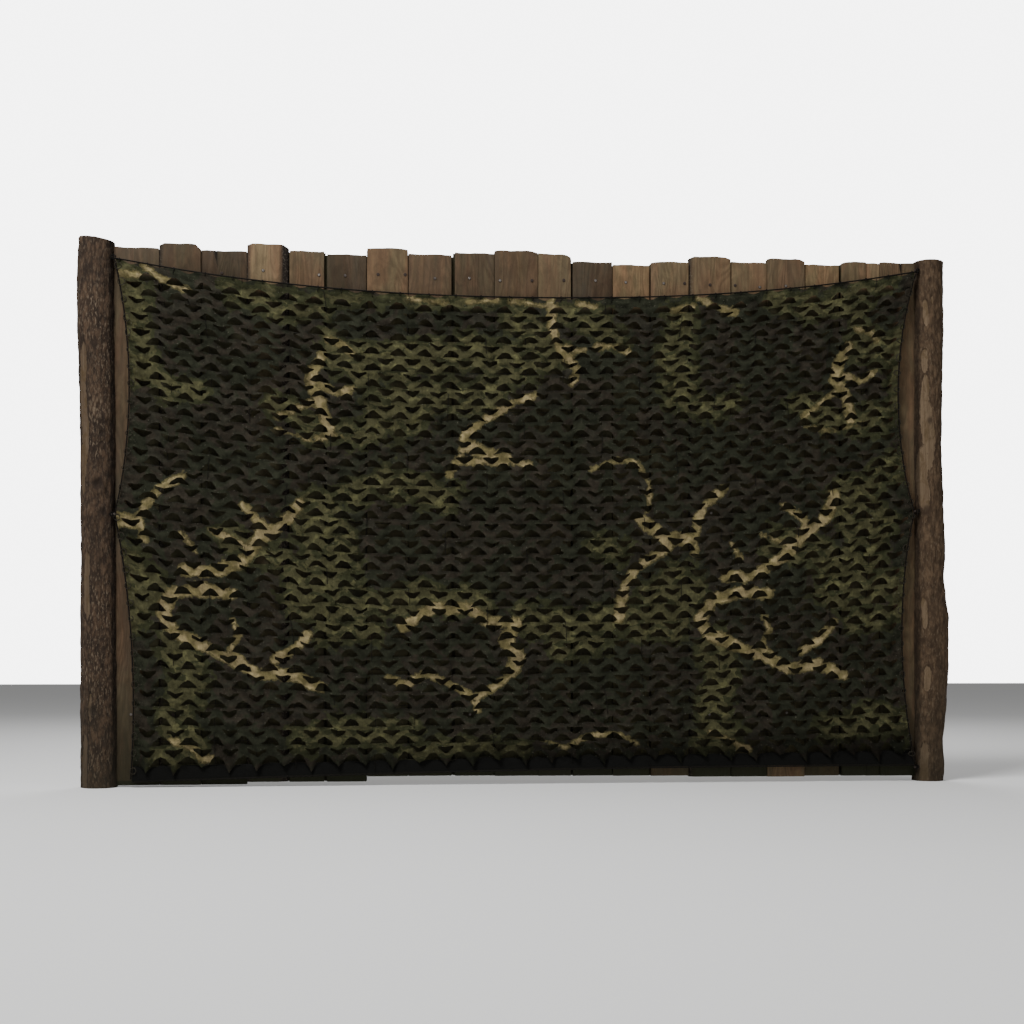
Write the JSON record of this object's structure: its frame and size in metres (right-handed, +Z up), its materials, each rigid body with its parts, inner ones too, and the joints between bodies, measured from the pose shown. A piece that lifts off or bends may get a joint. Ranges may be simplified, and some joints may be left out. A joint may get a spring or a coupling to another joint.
{
  "type": "camouflage netting on a log-post board fence",
  "caption": "Leaf-cut camouflage netting hung from a sagging border cord between two round log posts, in front of an upright board fence.",
  "frame": {"origin": "on the ground, midway between the two posts", "axes": "+X to the right along the fence seen from the side that the cloth hangs on, +Y to the back, +Z up"},
  "size_m": [3.0525, 0.1282, 1.861],
  "materials": {
    "camouflage_cloth": "matt printed woven polyester",
    "black_cord": "matt twisted cord",
    "bark": "rough bark, partly fallen off",
    "weathered_board": "sawn and weathered",
    "rail_timber": "sawn and weathered",
    "nail_steel": "dull, rusting"
  },
  "bodies": {
    "root": {"netting": "camouflage_cloth", "cord_top": "black_cord", "cord_bottom": "black_cord", "cord_left": "black_cord", "cord_right": "black_cord", "post_left": "bark", "post_right": "bark", "board_a": "weathered_board", "board_b": "weathered_board", "board_c": "weathered_board", "board_d": "weathered_board", "board_e": "weathered_board", "board_f": "weathered_board", "board_g": "weathered_board", "board_h": "weathered_board", "board_i": "weathered_board", "board_j": "weathered_board", "board_k": "weathered_board", "board_l": "weathered_board", "board_m": "weathered_board", "board_n": "weathered_board", "board_o": "weathered_board", "board_p": "weathered_board", "board_q": "weathered_board", "board_r": "weathered_board", "board_s": "weathered_board", "board_t": "weathered_board", "board_u": "weathered_board", "rail_top": "rail_timber", "rail_middle": "rail_timber", "rail_bottom": "rail_timber", "nail_left_top": "nail_steel", "nail_left_middle": "nail_steel", "nail_right_top": "nail_steel", "nail_right_middle": "nail_steel", "nail_right_foot": "nail_steel"}
  },
  "joints": []
}
